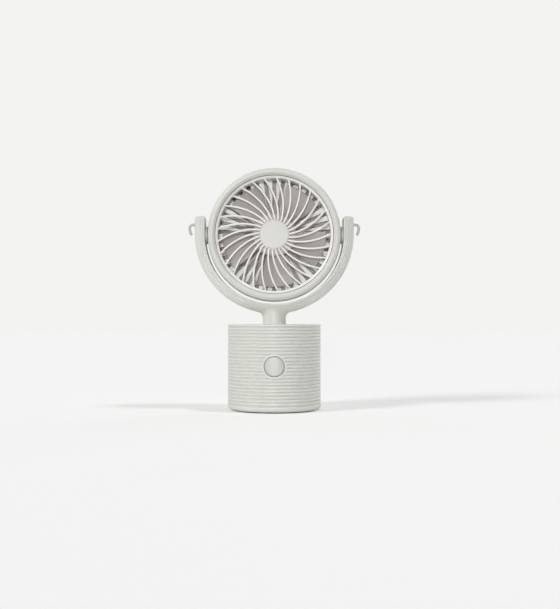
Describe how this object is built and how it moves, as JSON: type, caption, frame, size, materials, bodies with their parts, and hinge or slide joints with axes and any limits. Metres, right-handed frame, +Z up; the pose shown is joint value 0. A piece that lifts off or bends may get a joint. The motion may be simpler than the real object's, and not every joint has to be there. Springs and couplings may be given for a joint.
{
  "type": "portable fan",
  "caption": "Pocket fan with a round tilting head in a U-shaped yoke on a ribbed cylindrical battery base, with a press button, a charging port and side hooks for a neck cord.",
  "frame": {"origin": "centre of the foot ring's face on the table, under the neck", "axes": "+Z up, the front of the fan faces -Y, the tilt axis runs along X"},
  "size_m": [0.1072, 0.058, 0.1499],
  "materials": {
    "shell_plastic": "moulded, fine satin",
    "grille_plastic": "moulded, fine satin",
    "trim_plastic": "moulded, satin",
    "fan_plastic": "moulded, satin",
    "net_fibre": "woven nylon",
    "black_plastic": "moulded, matt",
    "steel": "plated",
    "battery_foil": "laminated foil",
    "brass": "turned",
    "copper": "enamelled copper wire",
    "circuit_board": "solder mask",
    "rubber": "matt",
    "wire_sleeve": "smooth sleeve",
    "magnet": "sintered ferrite"
  },
  "bodies": {
    "base": {"base_shell": "shell_plastic", "bottom_cover": "shell_plastic", "foot_ring": "rubber", "cover_screws": "steel", "tact_switch": "trim_plastic", "control_board": "circuit_board", "board_screws": "steel", "charge_board": "circuit_board", "usb_c_socket": "steel", "battery_cell": "battery_foil", "battery_pad": "rubber", "battery_leads": "wire_sleeve", "charge_leads": "wire_sleeve", "neck_nut": "steel", "yoke_frame": "shell_plastic", "yoke_inner_cover": "shell_plastic", "lanyard_hook_left": "trim_plastic", "lanyard_hook_right": "trim_plastic", "friction_washers": "rubber", "motor_lead_lower": "wire_sleeve"},
    "button": {"power_button": "shell_plastic", "switch_plunger": "black_plastic"},
    "head": {"pivot_pins": "steel", "pin_nuts": "steel", "motor_lead_upper": "wire_sleeve", "head_rear_shell": "shell_plastic", "front_bezel": "shell_plastic", "front_grille": "grille_plastic", "front_hub_cap": "grille_plastic", "intake_mesh": "net_fibre", "rear_grille": "shell_plastic", "head_screws": "steel", "bearing_tube": "brass", "motor_bearings": "steel", "stator_core": "steel", "stator_windings": "copper", "motor_board": "circuit_board"},
    "rotor": {"impeller": "fan_plastic", "rotor_cup": "steel", "rotor_magnet": "magnet", "motor_shaft": "steel", "shaft_clip": "steel"}
  },
  "joints": [
    {"name": "head_tilt", "type": "hinge", "parent": "base", "child": "head", "pos_m": [0, 0, 0.1085], "axis": [1, 0, 0], "range_deg": [-90, 90]},
    {"name": "fan_spin", "type": "hinge", "parent": "head", "child": "rotor", "pos_m": [0, 0, 0.1085], "axis": [0, 1, 0], "continuous": true},
    {"name": "button_press", "type": "slide", "parent": "base", "child": "button", "axis": [0, 1, 0], "range_m": [0, 0.0004], "stiffness_N_per_m": 1000, "springref_m": -0.0003}
  ]
}
